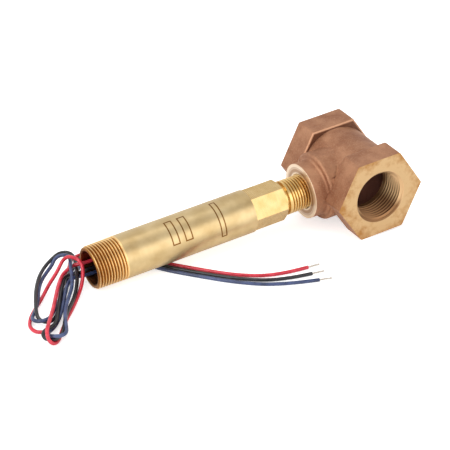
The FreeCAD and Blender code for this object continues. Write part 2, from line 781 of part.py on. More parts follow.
hank = make_hank()
parts["lead_hank"] = hank
rest_height = lead_radius + table_gap
for colour in lead_colours:
    y, z = root_places[colour]
    start = laid_down(seal_start + seal_length, y, z)
    beyond = laid_down(conduit_end + root_overrun, y, z)
    root = Part.makeCylinder(lead_radius, (beyond - start).Length, start, beyond - start)
    pieces = sorted(root.cut(hank).Solids, key=lambda s: (s.CenterOfMass - start).Length)
    parts["lead_%s_root" % colour] = pieces[0]

    route = [V(x, y, rest_height) for x, y in tail_routes[colour]]
    tail, length, radii = routed(route, lead_radius)
    pieces = sorted(tail.cut(hank).Solids, key=lambda s: -s.Volume)
    parts["lead_%s_tail" % colour] = pieces[0]
    share = tail.Volume / (length * math.pi * lead_radius ** 2)
    print(colour, "tail", round(length, 1), "mm, arcs", radii, "volume share", round(share, 4))

    end = route[-1]
    onward = (end - route[-2]).normalize() * strand_length
    parts["strands_" + colour] = Part.makeCylinder(strand_radius, strand_length, end, onward)

os.makedirs("parts", exist_ok=True)
for name, shape in parts.items():
    shape.exportStep("parts/%s.step" % name)

print("tilt", round(tilt, 3), "moved by", to_table)
print(len(parts), "nodes")
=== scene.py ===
# %% [markdown]
# # A paddle flow switch
# A cast bronze pipe tee carries a brass body on its branch. Water pushes a vane
# in the tee, a magnet on the vane's arm pulls a lever inside the brass barrel,
# and the lever works a snap switch. Three leads come out of the barrel's end.
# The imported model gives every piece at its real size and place. This lesson adds
# what a solid modeller leaves plain: cut threads, soft leads and real finishes.

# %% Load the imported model
import json
import math

import bpy
from mathutils import Matrix, Vector

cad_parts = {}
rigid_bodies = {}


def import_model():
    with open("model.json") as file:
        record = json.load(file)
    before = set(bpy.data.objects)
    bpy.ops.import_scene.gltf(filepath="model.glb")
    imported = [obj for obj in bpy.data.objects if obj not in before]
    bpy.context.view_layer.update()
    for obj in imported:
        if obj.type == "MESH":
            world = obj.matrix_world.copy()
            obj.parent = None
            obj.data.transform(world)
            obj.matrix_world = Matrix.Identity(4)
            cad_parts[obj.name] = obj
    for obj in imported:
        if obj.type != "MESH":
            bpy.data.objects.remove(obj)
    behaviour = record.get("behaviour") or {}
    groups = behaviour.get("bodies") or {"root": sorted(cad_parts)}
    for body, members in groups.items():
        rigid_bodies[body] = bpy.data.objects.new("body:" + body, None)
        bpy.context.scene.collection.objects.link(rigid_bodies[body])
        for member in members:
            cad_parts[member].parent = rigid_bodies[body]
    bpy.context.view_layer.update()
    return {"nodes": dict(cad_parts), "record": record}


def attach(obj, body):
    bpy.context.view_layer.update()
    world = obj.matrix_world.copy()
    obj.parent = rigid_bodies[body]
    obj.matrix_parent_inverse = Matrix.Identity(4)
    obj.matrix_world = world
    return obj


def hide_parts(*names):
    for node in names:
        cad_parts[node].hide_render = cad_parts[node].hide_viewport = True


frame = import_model()
mounts = {mount["name"]: mount for mount in frame["record"]["mounts"]}
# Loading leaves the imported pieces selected, and operators act on all that is selected.
bpy.ops.object.select_all(action="DESELECT")
MM = 0.001
print("nodes", len(frame["nodes"]))

# %% [markdown]
# ## The camera
# A long lens far away keeps the hexagons nearly parallel, as a catalogue view
# does. The camera stands in front of the open port and looks down at 30 degrees.

# %% Place the camera
camera_data = bpy.data.cameras.new("camera")
camera_data.lens = 162.2
camera_data.sensor_width = 36.0
camera_data.clip_end = 20.0
camera = bpy.data.objects.new("camera", camera_data)
bpy.context.scene.collection.objects.link(camera)
camera.location = (-0.53118, -0.90077, 0.62255)
camera.rotation_euler = (math.radians(59.71), 0.0, math.radians(-29.91))
bpy.context.scene.camera = camera
print("camera", [round(v, 3) for v in camera.location])

# %% [markdown]
# ## The three leads
# Each lead is a soft PVC wire 2.2 mm thick and about half a metre long. It comes out
# of the barrel's bore, is folded back and forth into a loose hank beside the
# barrel's end, passes under the barrel and ends in bare strands in front of it.
# A wire could be swept as a mesh tube, but a NURBS curve bends like a real wire,
# because its few control points pull on it instead of being corners.
# The order is set after the points are added, since a spline with too few
# points falls back to straight runs. Each point's radius carries the wire's
# thickness, so the bevel itself has a depth of 1.

# %% The leads' routes, in millimetres
lead_routes = {
    "red": [
        (-62.1, 5.2, 9.0), (-72.0, 6.4, 10.2), (-84.1, 8.0, 12.0), (-96.0, 8.4, 12.5),
        (-103.8, 8.2, 11.8), (-106.9, 11.2, 10.7), (-110.3, 12.4, 8.4), (-115.7, 10.0, 7.1),
        (-122.6, 0.8, 7.2), (-129.7, -10.4, 7.8), (-137.1, -22.6, 9.0), (-144.7, -34.1, 10.2),
        (-150.6, -42.2, 9.7), (-151.3, -45.3, 6.0), (-148.6, -45.5, 1.8), (-144.3, -43.4, 1.15),
        (-140.4, -38.4, 1.6), (-135.3, -31.7, 1.5), (-129.7, -24.6, 1.2), (-123.5, -18.4, 1.7),
        (-116.4, -11.0, 3.2), (-110.4, -4.3, 5.6), (-106.5, 1.4, 9.0), (-105.2, 4.3, 12.9),
        (-106.0, 6.5, 15.4), (-107.1, 8.9, 16.2), (-108.8, 15.2, 14.9), (-111.3, 17.8, 11.8),
        (-113.8, 17.1, 8.5), (-118.2, 13.7, 6.1), (-124.5, 8.8, 4.5), (-130.9, 2.5, 3.2),
        (-135.8, -2.1, 1.8), (-141.5, -7.1, 1.15), (-147.2, -13.5, 1.15), (-151.8, -21.3, 1.15),
        (-151.6, -28.0, 1.15), (-147.4, -31.1, 1.15), (-141.2, -29.4, 1.15), (-133.5, -22.1, 1.15),
        (-128.1, -10.1, 1.15), (-121.9, 0.9, 1.15), (-114.5, 10.8, 1.15), (-109.2, 19.0, 1.15),
        (-104.5, 24.0, 1.15), (-99.0, 33.5, 1.15), (-82.0, 34.5, 1.15), (-64.0, 22.0, 1.15),
        (-56.0, 3.5, 1.15), (-39.0, -16.5, 1.15), (-22.0, -34.0, 1.15), (-3.0, -44.5, 1.15),
        (17.0, -45.4, 1.15),
    ],
    "black": [
        (-62.0, 2.0, 7.5), (-72.1, 3.5, 8.1), (-84.1, 5.6, 8.6), (-96.0, 7.0, 8.6),
        (-103.5, 6.6, 7.7), (-106.2, 8.1, 6.2), (-109.9, 10.5, 5.5), (-114.3, 9.5, 5.4),
        (-120.6, 0.8, 5.5), (-127.0, -10.0, 5.6), (-133.6, -21.5, 5.7), (-139.0, -30.7, 5.5),
        (-143.3, -34.1, 5.3), (-147.5, -33.8, 4.7), (-150.7, -36.5, 3.8), (-150.9, -40.8, 3.4),
        (-148.0, -43.9, 3.5), (-143.6, -43.9, 3.8), (-138.5, -38.6, 3.9), (-133.8, -30.1, 3.7),
        (-128.6, -22.6, 3.9), (-122.7, -16.5, 4.6), (-117.0, -9.8, 5.7), (-111.9, -1.8, 7.0),
        (-107.9, 6.3, 8.2), (-104.6, 14.5, 8.8), (-102.2, 23.1, 9.6), (-104.0, 27.7, 9.8),
        (-108.8, 29.3, 9.5), (-115.8, 25.1, 9.1), (-121.8, 21.1, 8.2), (-128.8, 14.0, 7.4),
        (-135.7, 3.5, 6.7), (-141.2, -7.8, 5.9), (-145.3, -17.4, 4.7), (-145.2, -21.8, 3.0),
        (-141.9, -24.7, 2.2), (-137.6, -24.6, 2.9), (-132.4, -19.1, 3.5), (-125.6, -10.6, 3.3),
        (-118.7, -1.5, 3.8), (-112.5, 9.8, 3.4), (-107.2, 18.6, 2.0), (-102.5, 21.8, 1.15),
        (-97.0, 31.0, 1.15), (-82.5, 31.5, 1.15), (-67.0, 20.3, 1.15), (-58.5, 0.8, 1.15),
        (-41.2, -19.4, 1.15), (-24.2, -37.2, 1.15), (-5.0, -50.0, 1.15), (15.4, -52.6, 1.15),
    ],
    "blue": [
        (-62.0, -1.6, 7.4), (-72.0, 0.1, 6.9), (-84.0, 2.7, 6.3), (-96.0, 5.2, 5.9),
        (-104.1, 5.0, 5.6), (-106.9, 6.3, 5.4), (-111.0, 6.2, 5.3), (-115.8, 2.4, 5.9),
        (-121.2, -5.4, 5.9), (-126.5, -14.0, 5.2), (-131.9, -22.0, 4.2), (-137.2, -28.1, 3.0),
        (-141.8, -31.7, 2.1), (-145.8, -34.5, 2.7), (-149.1, -40.3, 5.0), (-147.7, -44.4, 6.2),
        (-143.7, -46.4, 6.3), (-139.5, -44.8, 6.2), (-136.6, -37.9, 6.1), (-133.3, -29.6, 6.2),
        (-128.7, -21.2, 6.7), (-123.1, -13.8, 7.4), (-117.5, -6.7, 8.5), (-113.6, 1.1, 10.0),
        (-110.3, 9.9, 11.6), (-106.5, 18.1, 12.1), (-107.7, 22.1, 11.8), (-110.5, 24.2, 11.1),
        (-113.8, 24.1, 9.7), (-116.7, 21.3, 8.0), (-121.4, 18.5, 6.3), (-127.7, 13.2, 5.1),
        (-133.7, 4.6, 4.4), (-138.3, -5.0, 3.8), (-143.8, -12.2, 3.1), (-148.8, -18.1, 3.1),
        (-147.4, -23.7, 3.9), (-141.9, -25.4, 4.7), (-136.8, -21.5, 4.6), (-130.6, -13.1, 4.0),
        (-123.0, -3.6, 2.9), (-114.9, 5.7, 1.15), (-107.1, 15.0, 1.15), (-100.3, 20.0, 1.15),
        (-94.5, 28.0, 1.15), (-83.0, 28.5, 1.15), (-69.8, 18.6, 1.15), (-61.0, -1.9, 1.15),
        (-43.5, -22.3, 1.15), (-26.5, -40.5, 1.15), (-7.0, -54.5, 1.15), (15.4, -60.6, 1.15),
    ],
}
lead_diameter = 2.2 * MM
print("points", {colour: len(route) for colour, route in lead_routes.items()})


# %% Draw the leads
def draw_lead(colour, route):
    """One lead as a smooth NURBS wire through the pull of its route's points."""
    curve = bpy.data.curves.new("lead_" + colour, "CURVE")
    curve.dimensions = "3D"
    spline = curve.splines.new("NURBS")
    spline.points.add(len(route) - 1)
    for point, (x, y, z) in zip(spline.points, route):
        point.co = (x * MM, y * MM, z * MM, 1.0)
        point.radius = lead_diameter / 2
    spline.order_u = 3
    spline.use_endpoint_u = True
    spline.resolution_u = 8
    curve.bevel_depth = 1.0
    curve.bevel_resolution = 4
    curve.use_fill_caps = True
    lead = bpy.data.objects.new("lead_" + colour, curve)
    bpy.context.scene.collection.objects.link(lead)
    return lead


leads = {colour: draw_lead(colour, route) for colour, route in lead_routes.items()}
print("leads", sorted(leads))

# %% [markdown]
# ## The stripped ends
# The last 8 mm of each lead has its insulation stripped off, and a bundle of
# seven tinned copper wires shows. One straight wire is made from a cylinder, six
# more stand round it, and a Simple Deform modifier twists the bundle as the wire
# maker's machine does. A twist on straight wires needs rings of points along
# them, so the wires are divided first.

# %% Twist a bundle of seven wires
strand_wire_radius = 0.2 * MM
wire_spacing = 1.9 * strand_wire_radius      # a little under two radii, so the wires touch
strand_length = 8.0 * MM
bundle_twist = math.radians(420)
tuck = 0.3 * MM                              # the bundle starts this far inside the insulation


def shown_alone(piece):
    """Selects one piece and nothing else, so that an operator acts on it alone."""
    bpy.ops.object.select_all(action="DESELECT")
    piece.select_set(True)
    bpy.context.view_layer.objects.active = piece


def apply_modifier(piece, kind, **settings):
    """Adds a modifier with its settings and applies it at once."""
    modifier = piece.modifiers.new(kind.title(), kind)
    for name, value in settings.items():
        setattr(modifier, name, value)
    shown_alone(piece)
    bpy.ops.object.modifier_apply(modifier=modifier.name)


def twisted_bundle(name):
    """Seven thin wires laid along +Z from the origin and twisted together."""
    turns = [k * math.pi / 3 for k in range(6)]
    spots = [(0.0, 0.0)]
    spots += [(wire_spacing * math.cos(turn), wire_spacing * math.sin(turn)) for turn in turns]
    wires = []
    for x, y in spots:
        bpy.ops.mesh.primitive_cylinder_add(
            vertices=8, radius=strand_wire_radius, depth=strand_length,
            location=(x, y, strand_length / 2))
        wire = bpy.context.object
        bpy.ops.object.mode_set(mode="EDIT")
        bpy.ops.mesh.select_all(action="DESELECT")
        bpy.ops.object.mode_set(mode="OBJECT")
        for edge in wire.data.edges:
            low, high = (wire.data.vertices[k].co.z for k in edge.vertices)
            edge.select = abs(high - low) > strand_length / 2
        bpy.ops.object.mode_set(mode="EDIT")
        bpy.ops.mesh.subdivide(number_cuts=14)
        bpy.ops.object.mode_set(mode="OBJECT")
        wires.append(wire)
    for wire in wires:
        wire.select_set(True)
    bpy.ops.object.join()
    bundle = bpy.context.object
    bundle.name = name
    bpy.ops.object.transform_apply(location=True, rotation=True, scale=True)
    apply_modifier(bundle, "SIMPLE_DEFORM", deform_method="TWIST", deform_axis="Z",
                   angle=bundle_twist)
    return bundle


# %% Lay a bundle on the end of each lead
strands = {}
for colour, lead in leads.items():
    before, tip = (Vector(point.co[:3]) for point in lead.data.splines[0].points[-2:])
    along = (tip - before).normalized()
    bundle = twisted_bundle("strands_" + colour + "_twisted")
    turn = along.to_track_quat("Z", "Y").to_matrix().to_4x4()
    bundle.matrix_world = Matrix.Translation(tip - along * tuck) @ turn
    shown_alone(bundle)
    bpy.ops.object.transform_apply(location=True, rotation=True, scale=True)
    bpy.ops.object.shade_smooth_by_angle(angle=math.radians(50))
    strands[colour] = bundle
print("strand bundles", {colour: len(piece.data.polygons) for colour, piece in strands.items()})

for colour, lead in leads.items():
    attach(lead, "housing")
    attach(strands[colour], "housing")
    replaced = ["lead_" + colour + "_root", "lead_" + colour + "_tail"]
    if colour == "red":
        replaced.append("lead_hank")
    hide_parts(*replaced)
    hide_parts("strands_" + colour)
print("cords", [lead.name for lead in leads.values()])

# %% [markdown]
# ## Cut threads
# A taper pipe thread is a V groove that winds round the metal, 1.81 mm from turn
# to turn on the small sizes and 2.21 mm in the tee's ports. It could be faked
# with a bump, but its crests show against the background, so it is cut. The
# tool is the groove's own outline, drawn point by point from a single vertex
# and swept by a Screw modifier, as a lathe tool would be. A Boolean then takes
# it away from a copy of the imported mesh. The outlines, pitches and stations are
# in millimetres.

# %% The pipe threads' own numbers
small_pitch = 1.814              # 14 turns to the inch
port_pitch = 2.209               # 11.5 turns to the inch
pipe_taper = 1 / 32              # growth of the radius along the thread
flank_angle = math.radians(30)
sweep_steps = 90                 # a step of 4 degrees leaves the crests round
weld_gap = 0.001 * MM            # points nearer than this are one point
print("pitches in mm", small_pitch, port_pitch)


# %% Sweep an outline round Z
def swept(outline, pitch=0.0, turns=1):
    """A closed outline of (radius, height) points, swept into a ring or a helix."""
    bpy.ops.mesh.primitive_plane_add(size=MM)
    solid = bpy.context.object
    bpy.ops.object.mode_set(mode="EDIT")
    bpy.ops.mesh.merge(type="CENTER")
    bpy.ops.transform.translate(value=(outline[0][0] * MM, 0, outline[0][1] * MM))
    for (r0, z0), (r1, z1) in zip(outline, outline[1:]):
        move = ((r1 - r0) * MM, 0, (z1 - z0) * MM)
        bpy.ops.mesh.extrude_vertices_move(TRANSFORM_OT_translate={"value": move})
    bpy.ops.mesh.select_all(action="DESELECT")
    bpy.ops.object.mode_set(mode="OBJECT")
    solid.data.vertices[0].select = True
    solid.data.vertices[len(outline) - 1].select = True
    bpy.ops.object.mode_set(mode="EDIT")
    bpy.ops.mesh.edge_face_add()
    bpy.ops.object.mode_set(mode="OBJECT")
    apply_modifier(solid, "SCREW", axis="Z", angle=math.tau, screw_offset=pitch * MM,
                   iterations=turns, steps=sweep_steps, render_steps=sweep_steps,
                   use_smooth_shade=False, use_merge_vertices=not pitch,
                   merge_threshold=weld_gap)
    return solid


def close_up(solid):
    """Caps the open ends and turns every face outwards."""
    shown_alone(solid)
    bpy.ops.object.mode_set(mode="EDIT")
    bpy.ops.mesh.select_all(action="SELECT")
    bpy.ops.mesh.fill_holes(sides=8)
    bpy.ops.mesh.select_all(action="SELECT")
    bpy.ops.mesh.normals_make_consistent(inside=False)
    bpy.ops.object.mode_set(mode="OBJECT")


# %% The thread-cutting tool
crest_clearance = 0.9            # how far the tool stands out past the crests
run_out = 1.9                    # how far it draws back as the thread fades out


def thread_tool(root, pitch, turns, outside, taper, fade_turns):
    """A helical V along +Z. root is its deepest radius. outside: 1 for a rod, -1 for a hole."""
    root_flat = 0.035 * pitch
    half_width = 0.475 * pitch
    crest = root + outside * (half_width - root_flat) / math.tan(flank_angle)
    clear = crest + outside * crest_clearance
    tool = swept([(root, root_flat), (crest, half_width), (clear, half_width),
                  (clear, -half_width), (crest, -half_width), (root, -root_flat)], pitch, turns)
    for vertex in tool.data.vertices:
        x, y, z = vertex.co / MM
        radius = math.hypot(x, y)
        fade = max(0.0, z / pitch - turns + fade_turns) / fade_turns
        grown = (radius + taper * z + outside * run_out * fade) / radius
        vertex.co.x *= grown
        vertex.co.y *= grown
    close_up(tool)
    return tool


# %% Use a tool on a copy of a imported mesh
def closed_copy(node):
    """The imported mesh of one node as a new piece, its loose triangles joined."""
    piece = frame["nodes"][node].copy()
    piece.data = frame["nodes"][node].data.copy()
    piece.name = node + "_threaded"
    bpy.context.scene.collection.objects.link(piece)
    shown_alone(piece)
    bpy.ops.object.parent_clear(type="CLEAR_KEEP_TRANSFORM")
    bpy.ops.object.mode_set(mode="EDIT")
    bpy.ops.mesh.select_all(action="SELECT")
    bpy.ops.mesh.remove_doubles(threshold=weld_gap)
    bpy.ops.object.mode_set(mode="OBJECT")
    bpy.ops.mesh.customdata_custom_splitnormals_clear()
    return piece


def combine(piece, operation, other, start, along):
    """Turns the other solid's +Z along a direction, moves it, and adds it or takes it away."""
    turn = Vector((0, 0, 1)).rotation_difference(Vector(along))
    other.matrix_world = Matrix.Translation(Vector(start)) @ turn.to_matrix().to_4x4()
    shown_alone(other)
    bpy.ops.object.transform_apply(location=True, rotation=True, scale=True)
    apply_modifier(piece, "BOOLEAN", operation=operation, solver="EXACT", object=other)
    bpy.data.objects.remove(other, do_unlink=True)


def smooth_finish(piece):
    """Smooth shading on the round faces only. The large flat faces keep their own direction."""
    shown_alone(piece)
    bpy.ops.object.shade_smooth_by_angle(angle=math.radians(30))
    apply_modifier(piece, "WEIGHTED_NORMAL", keep_sharp=True, mode="FACE_AREA")


# %% The axis of the switch
outwards = Vector(mounts["conduit_thread"]["axis"]).normalized()
inwards = -outwards
tee_centre = Vector(mounts["inlet_port"]["pos_m"])
tee_centre.y = 0.0


def station(distance):
    """The point on the switch's axis that many millimetres from the centre of the tee."""
    return tee_centre + outwards * distance * MM


mount_to_end = 10.2              # the conduit's mount lies this far inside the barrel's end
conduit_mount = Vector(mounts["conduit_thread"]["pos_m"])
conduit_thread_end = (conduit_mount - tee_centre).dot(outwards) / MM + mount_to_end
print("the conduit end is at station", round(conduit_thread_end, 2))

# %% [markdown]
# ## The upper body's conduit thread
# The barrel's open end carries a 3/4 inch taper thread for the conduit fitting.
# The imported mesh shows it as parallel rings. A slightly conical sleeve fills
# them, as the blank was before it was threaded, and the helix is cut into that.
# Its grooves get shallower towards the barrel, because the thread tapers and
# the die stops there, so the tool is tapered and fades out at the end.

# %% Cut the conduit thread
upper_body = closed_copy("upper_body")
blank = swept([(11.0, 0.05), (12.0, 0.05), (13.05, 1.08), (13.31, 19.6), (11.0, 19.6)])
close_up(blank)
combine(upper_body, "UNION", blank, station(conduit_thread_end), inwards)
run_in = 1.3                     # the tool starts this far off the end
tool = thread_tool(root=11.56, pitch=small_pitch, turns=12, outside=1, taper=pipe_taper,
                   fade_turns=1.5)
combine(upper_body, "DIFFERENCE", tool, station(conduit_thread_end + run_in), inwards)
smooth_finish(upper_body)
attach(upper_body, "housing")
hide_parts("upper_body")
print("upper body faces", len(upper_body.data.polygons))

# %% [markdown]
# ## The nipple's thread
# The lower body screws into the tee with a 1/2 inch taper thread. Half of it
# stays in sight between the boss and the hexagon, and ends at a relief groove.

# %% Cut the nipple's thread
lower_body = closed_copy("lower_body")
blank = swept([(8.3, 34.9), (10.52, 34.9), (10.64, 48.55), (8.3, 48.55)])
close_up(blank)
combine(lower_body, "UNION", blank, tee_centre, outwards)
nipple_tool_start = 21.2         # just off the nipple's hidden end, inside the tee
tool = thread_tool(root=9.0, pitch=small_pitch, turns=15, outside=1, taper=pipe_taper,
                   fade_turns=0.5)
combine(lower_body, "DIFFERENCE", tool, station(nipple_tool_start), outwards)
smooth_finish(lower_body)
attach(lower_body, "housing")
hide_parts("lower_body")
print("lower body faces", len(lower_body.data.polygons))

# %% [markdown]
# ## The tee's port threads
# Each port has a 1 inch taper thread, cut from the outside in. The tool is the
# same V turned inside out, and it narrows as it goes in.

# %% Cut the two port threads
tee = closed_copy("tee_casting")
port_tool_start = 35.0 * MM      # just off the port's face
for side in (-1, 1):
    tool = thread_tool(root=16.6, pitch=port_pitch, turns=9, outside=-1, taper=-pipe_taper,
                       fade_turns=1.0)
    start = tee_centre + Vector((0, side * port_tool_start, 0))
    combine(tee, "DIFFERENCE", tool, start, (0, -side, 0))
smooth_finish(tee)
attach(tee, "housing")
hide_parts("tee_casting")
print("tee faces", len(tee.data.polygons))

# %% [markdown]
# ## Finishes
# Every material starts from what the real surface is made of. One helper turns
# an sRGB colour into the linear numbers that shaders use, and one adds a node
# with its settings and links. Sockets go by their number on the node. On a Map
# Range node, 1 and 2 are the range it reads, and 3 and 4 the range it gives. On
# a Mix node, 0 is the share, 6 and 7 are two colours, and 2 and 3 two numbers.

# %% Helpers for materials
def colour_of(hex_code):
    """Linear RGBA from an sRGB hex code."""
    channels = [int(hex_code[k:k + 2], 16) / 255 for k in (1, 3, 5)]
    linear = [c / 12.92 if c <= 0.04045 else ((c + 0.055) / 1.055) ** 2.4 for c in channels]
    return (*linear, 1.0)


def feed(node, inputs):
    """Sets inputs to numbers, hex colours or outputs. A node stands for its first live output."""
    for key, value in inputs.items():
        if isinstance(value, str):
            value = colour_of(value)
        if isinstance(value, bpy.types.Node):
            value = next(output for output in value.outputs if output.enabled)
        if isinstance(value, bpy.types.NodeSocket):
            node.id_data.links.new(value, node.inputs[key])
        else:
            node.inputs[key].default_value = value


def add(tree, kind, inputs=None, **settings):
    """Adds one node with its settings and its inputs."""
    node = tree.nodes.new("ShaderNode" + kind)
    for name, value in settings.items():
        setattr(node, name, value)
    feed(node, inputs or {})
    return node


def new_material(name):
    """An empty material, its node tree and its principled shader."""
    material = bpy.data.materials.new(name)
    material.use_nodes = True
    return material, material.node_tree, material.node_tree.nodes["Principled BSDF"]


def dress(material, *pieces):
    """Gives every material slot of the pieces this material."""
    for piece in pieces:
        if not piece.material_slots:
            piece.data.materials.append(material)
        for slot in piece.material_slots:
            slot.material = material


# %% Places along the switch
sideways = Vector((0, -1, 0))
axis_turn = Matrix((outwards, sideways, outwards.cross(sideways))).transposed().to_euler()


def places_along(tree):
    """The object's place, and the same turned so that X is the station along the switch."""
    place = add(tree, "TexCoord").outputs["Object"]
    along = add(tree, "Mapping", {0: place, 1: tee_centre, 2: axis_turn}, vector_type="TEXTURE")
    return place, along


def between(tree, value, low, high, soft):
    """1 where a value lies between two limits and 0 elsewhere, with a soft step at each."""
    up = add(tree, "MapRange", {0: value, 1: low - soft, 2: low + soft})
    down = add(tree, "MapRange", {0: value, 1: high - soft, 2: high + soft, 3: 1.0, 4: 0.0})
    return add(tree, "Math", {0: up, 1: down}, operation="MULTIPLY")


# %% [markdown]
# ### Cast bronze
# The tee is sand cast in bronze. Its skin is matt, pinkish brown and lumpy from
# the sand. A painted highlight lies on the inner edge of one hexagon, with painted
# shade in the corner inside the hexagons and in the chamber. The port faces and
# the branch face are turned afterwards: the ports have tarnished towards orange,
# with painted shade in their threads, and the branch face shows pale rings from
# the lathe and painted highlights on its edges. Where a surface lies is told by
# its distances from the middle of the tee, from the waterway's axis and from the
# branch's axis, so they are measured once.

# %% Measure places on the tee
bronze, tree, shader = new_material("sand_cast_bronze")
place, along = places_along(tree)
centred = add(tree, "Mapping", {0: place, 1: (-tee_centre.x, 0, -tee_centre.z)})
along_port = add(tree, "SeparateXYZ", {0: centred}).outputs[1]
from_middle = add(tree, "Math", {0: along_port}, operation="ABSOLUTE")
across = add(tree, "VectorMath", {0: centred, 1: (1, 0, 1)}, operation="MULTIPLY")
from_axis = add(tree, "VectorMath", {0: across}, operation="LENGTH")
along_branch = add(tree, "SeparateXYZ", {0: along}).outputs[0]
across = add(tree, "VectorMath", {0: along, 1: (0, 1, 1)}, operation="MULTIPLY")
from_branch = add(tree, "VectorMath", {0: across}, operation="LENGTH")
print("nodes that measure the tee", len(tree.nodes))

# %% The cast skin
# Grains of moulding sand are too fine to show, so they are drawn 1 mm coarse.
cloud_size, lump_size, sand_size, pit_size = 11 * MM, 4.5 * MM, 1.0 * MM, 2.8 * MM
cloud = add(tree, "TexNoise", {"Vector": place, "Scale": 1 / cloud_size, "Detail": 5.0})
lumps = add(tree, "TexNoise", {"Vector": place, "Scale": 1 / lump_size, "Detail": 2.0})
grain = add(tree, "TexNoise", {"Vector": place, "Scale": 1 / sand_size, "Detail": 3.0})
pits = add(tree, "TexVoronoi", {"Vector": place, "Scale": 1 / pit_size})
patch = add(tree, "MapRange", {0: cloud, 1: 0.35, 2: 0.65})
skin = add(tree, "Mix", {0: patch, 6: "#956448", 7: "#b48464"}, data_type="RGBA")
fleck = add(tree, "MapRange", {0: grain, 1: 0.5, 2: 0.75, 3: 0.0, 4: 0.5})
skin = add(tree, "Mix", {0: fleck, 6: skin, 7: "#c09474"}, data_type="RGBA")
pit = add(tree, "MapRange", {0: pits, 1: 0.12, 2: 0.02, 3: 0.0, 4: 0.55})
skin = add(tree, "Mix", {0: pit, 6: skin, 7: "#583626"}, data_type="RGBA")

# %% The painted highlight on a hexagon's inner edge and the painted shade in the corner
# The painted highlight fades in between 23.4 and 23.8 mm from the waterway's axis.
outer = add(tree, "MapRange", {0: from_axis, 1: 23.4 * MM, 2: 23.8 * MM})
hex_rim_highlight = between(tree, along_port, 16.95 * MM, 17.6 * MM, 0.15 * MM)
hex_rim_highlight = add(tree, "Math", {0: hex_rim_highlight, 1: outer}, operation="MULTIPLY")
skin = add(tree, "Mix", {0: hex_rim_highlight, 6: skin, 7: "#d2a280"}, data_type="RGBA")
# Painted shade: the corner where the round body meets the hexagons is darker, but not on the boss.
shaded = between(tree, from_middle, 16.3 * MM, 16.86 * MM, 0.05 * MM)
off_boss = add(tree, "MapRange", {0: along_branch, 1: 24.0 * MM, 2: 22.0 * MM, 3: 0.0, 4: 0.65})
shaded = add(tree, "Math", {0: shaded, 1: off_boss}, operation="MULTIPLY")
skin = add(tree, "Mix", {0: shaded, 6: skin, 7: "#5a3828"}, data_type="RGBA")
print("nodes with the skin", len(tree.nodes))

# %% Tell the turned faces from the threaded bore and the chamber behind it
face = add(tree, "MapRange", {0: from_middle, 1: 33.3 * MM, 2: 33.36 * MM})
near_axis = add(tree, "MapRange", {0: from_axis, 1: 17.0 * MM, 2: 16.8 * MM})
past_thread = add(tree, "MapRange", {0: from_middle, 1: 13.6 * MM, 2: 13.9 * MM})
bore = add(tree, "Math", {0: near_axis, 1: past_thread}, operation="MULTIPLY")
chamber = add(tree, "Math", {0: near_axis, 1: bore}, operation="SUBTRACT")
bright = add(tree, "Math", {0: face, 1: bore}, operation="MAXIMUM")

# %% Tarnish the port faces
# The orange film gets stronger towards the hexagon's corners.
film_size = 6 * MM
tarnish = add(tree, "TexNoise", {"Vector": place, "Scale": 1 / film_size, "Detail": 5.0,
                                 "Roughness": 0.65})
edge = add(tree, "MapRange", {0: from_axis, 1: 18 * MM, 2: 29 * MM, 3: -0.12, 4: 0.16})
tarnish = add(tree, "Math", {0: tarnish, 1: edge})
tarnish = add(tree, "MapRange", {0: tarnish, 1: 0.42, 2: 0.72})
gold = add(tree, "Mix", {0: tarnish, 6: "#d0ac7c", 7: "#b07c42"}, data_type="RGBA")

# %% Paint shade into the port threads' grooves
# The crests lie on a cone. A place's distance outside it tells how deep in a groove it is, and the
# deeper it lies, the darker its painted shade.
cone = add(tree, "MapRange", {0: from_middle, 1: 13.5 * MM, 2: 33.4 * MM, 3: 14.95 * MM,
                              4: 15.35 * MM})
depth = add(tree, "Math", {0: from_axis, 1: cone}, operation="SUBTRACT")
groove = add(tree, "MapRange", {0: depth, 1: 0.1 * MM, 2: 0.8 * MM})
before_mouth = add(tree, "MapRange", {0: from_middle, 1: 31.8 * MM, 2: 31.4 * MM})
groove = add(tree, "Math", {0: groove, 1: before_mouth}, operation="MULTIPLY")
groove = add(tree, "Math", {0: groove, 1: bore}, operation="MULTIPLY")
# Painted shade: the threads in the bore are drawn darker towards the bottom of the port.
lower = add(tree, "SeparateXYZ", {0: centred}).outputs[2]
lower = add(tree, "MapRange", {0: lower, 1: -5 * MM, 2: -10 * MM})
crest = add(tree, "Mix", {0: lower, 6: "#dcb484", 7: "#946a44"}, data_type="RGBA")
gold = add(tree, "Mix", {0: bore, 6: gold, 7: crest}, data_type="RGBA")
gold = add(tree, "Mix", {0: groove, 6: gold, 7: "#3c2210"}, data_type="RGBA")
colour = add(tree, "Mix", {0: bright, 6: skin, 7: gold}, data_type="RGBA")
# Painted shade: the chamber inside the tee is drawn a darker brown.
colour = add(tree, "Mix", {0: chamber, 6: colour, 7: "#74422f"}, data_type="RGBA")
print("nodes with the ports", len(tree.nodes))

# %% The turned branch face
# The lathe's feed is too fine to show, so its rings are drawn about 2.4 mm apart.
ring_size = 2.4 * MM
branch_face = add(tree, "MapRange", {0: along_branch, 1: 35.2 * MM, 2: 35.28 * MM})
turns_out = add(tree, "Math", {0: from_branch, 1: 1 / ring_size}, operation="MULTIPLY")
lathe_rings = add(tree, "TexNoise", {"W": turns_out, "Scale": 1.0, "Detail": 1.0},
                  noise_dimensions="1D")
lathe_rings = add(tree, "MapRange", {0: lathe_rings, 1: 0.4, 2: 0.6})
pale = add(tree, "Mix", {0: lathe_rings, 6: "#ac8868", 7: "#ecd6bc"}, data_type="RGBA")
colour = add(tree, "Mix", {0: branch_face, 6: colour, 7: pale}, data_type="RGBA")
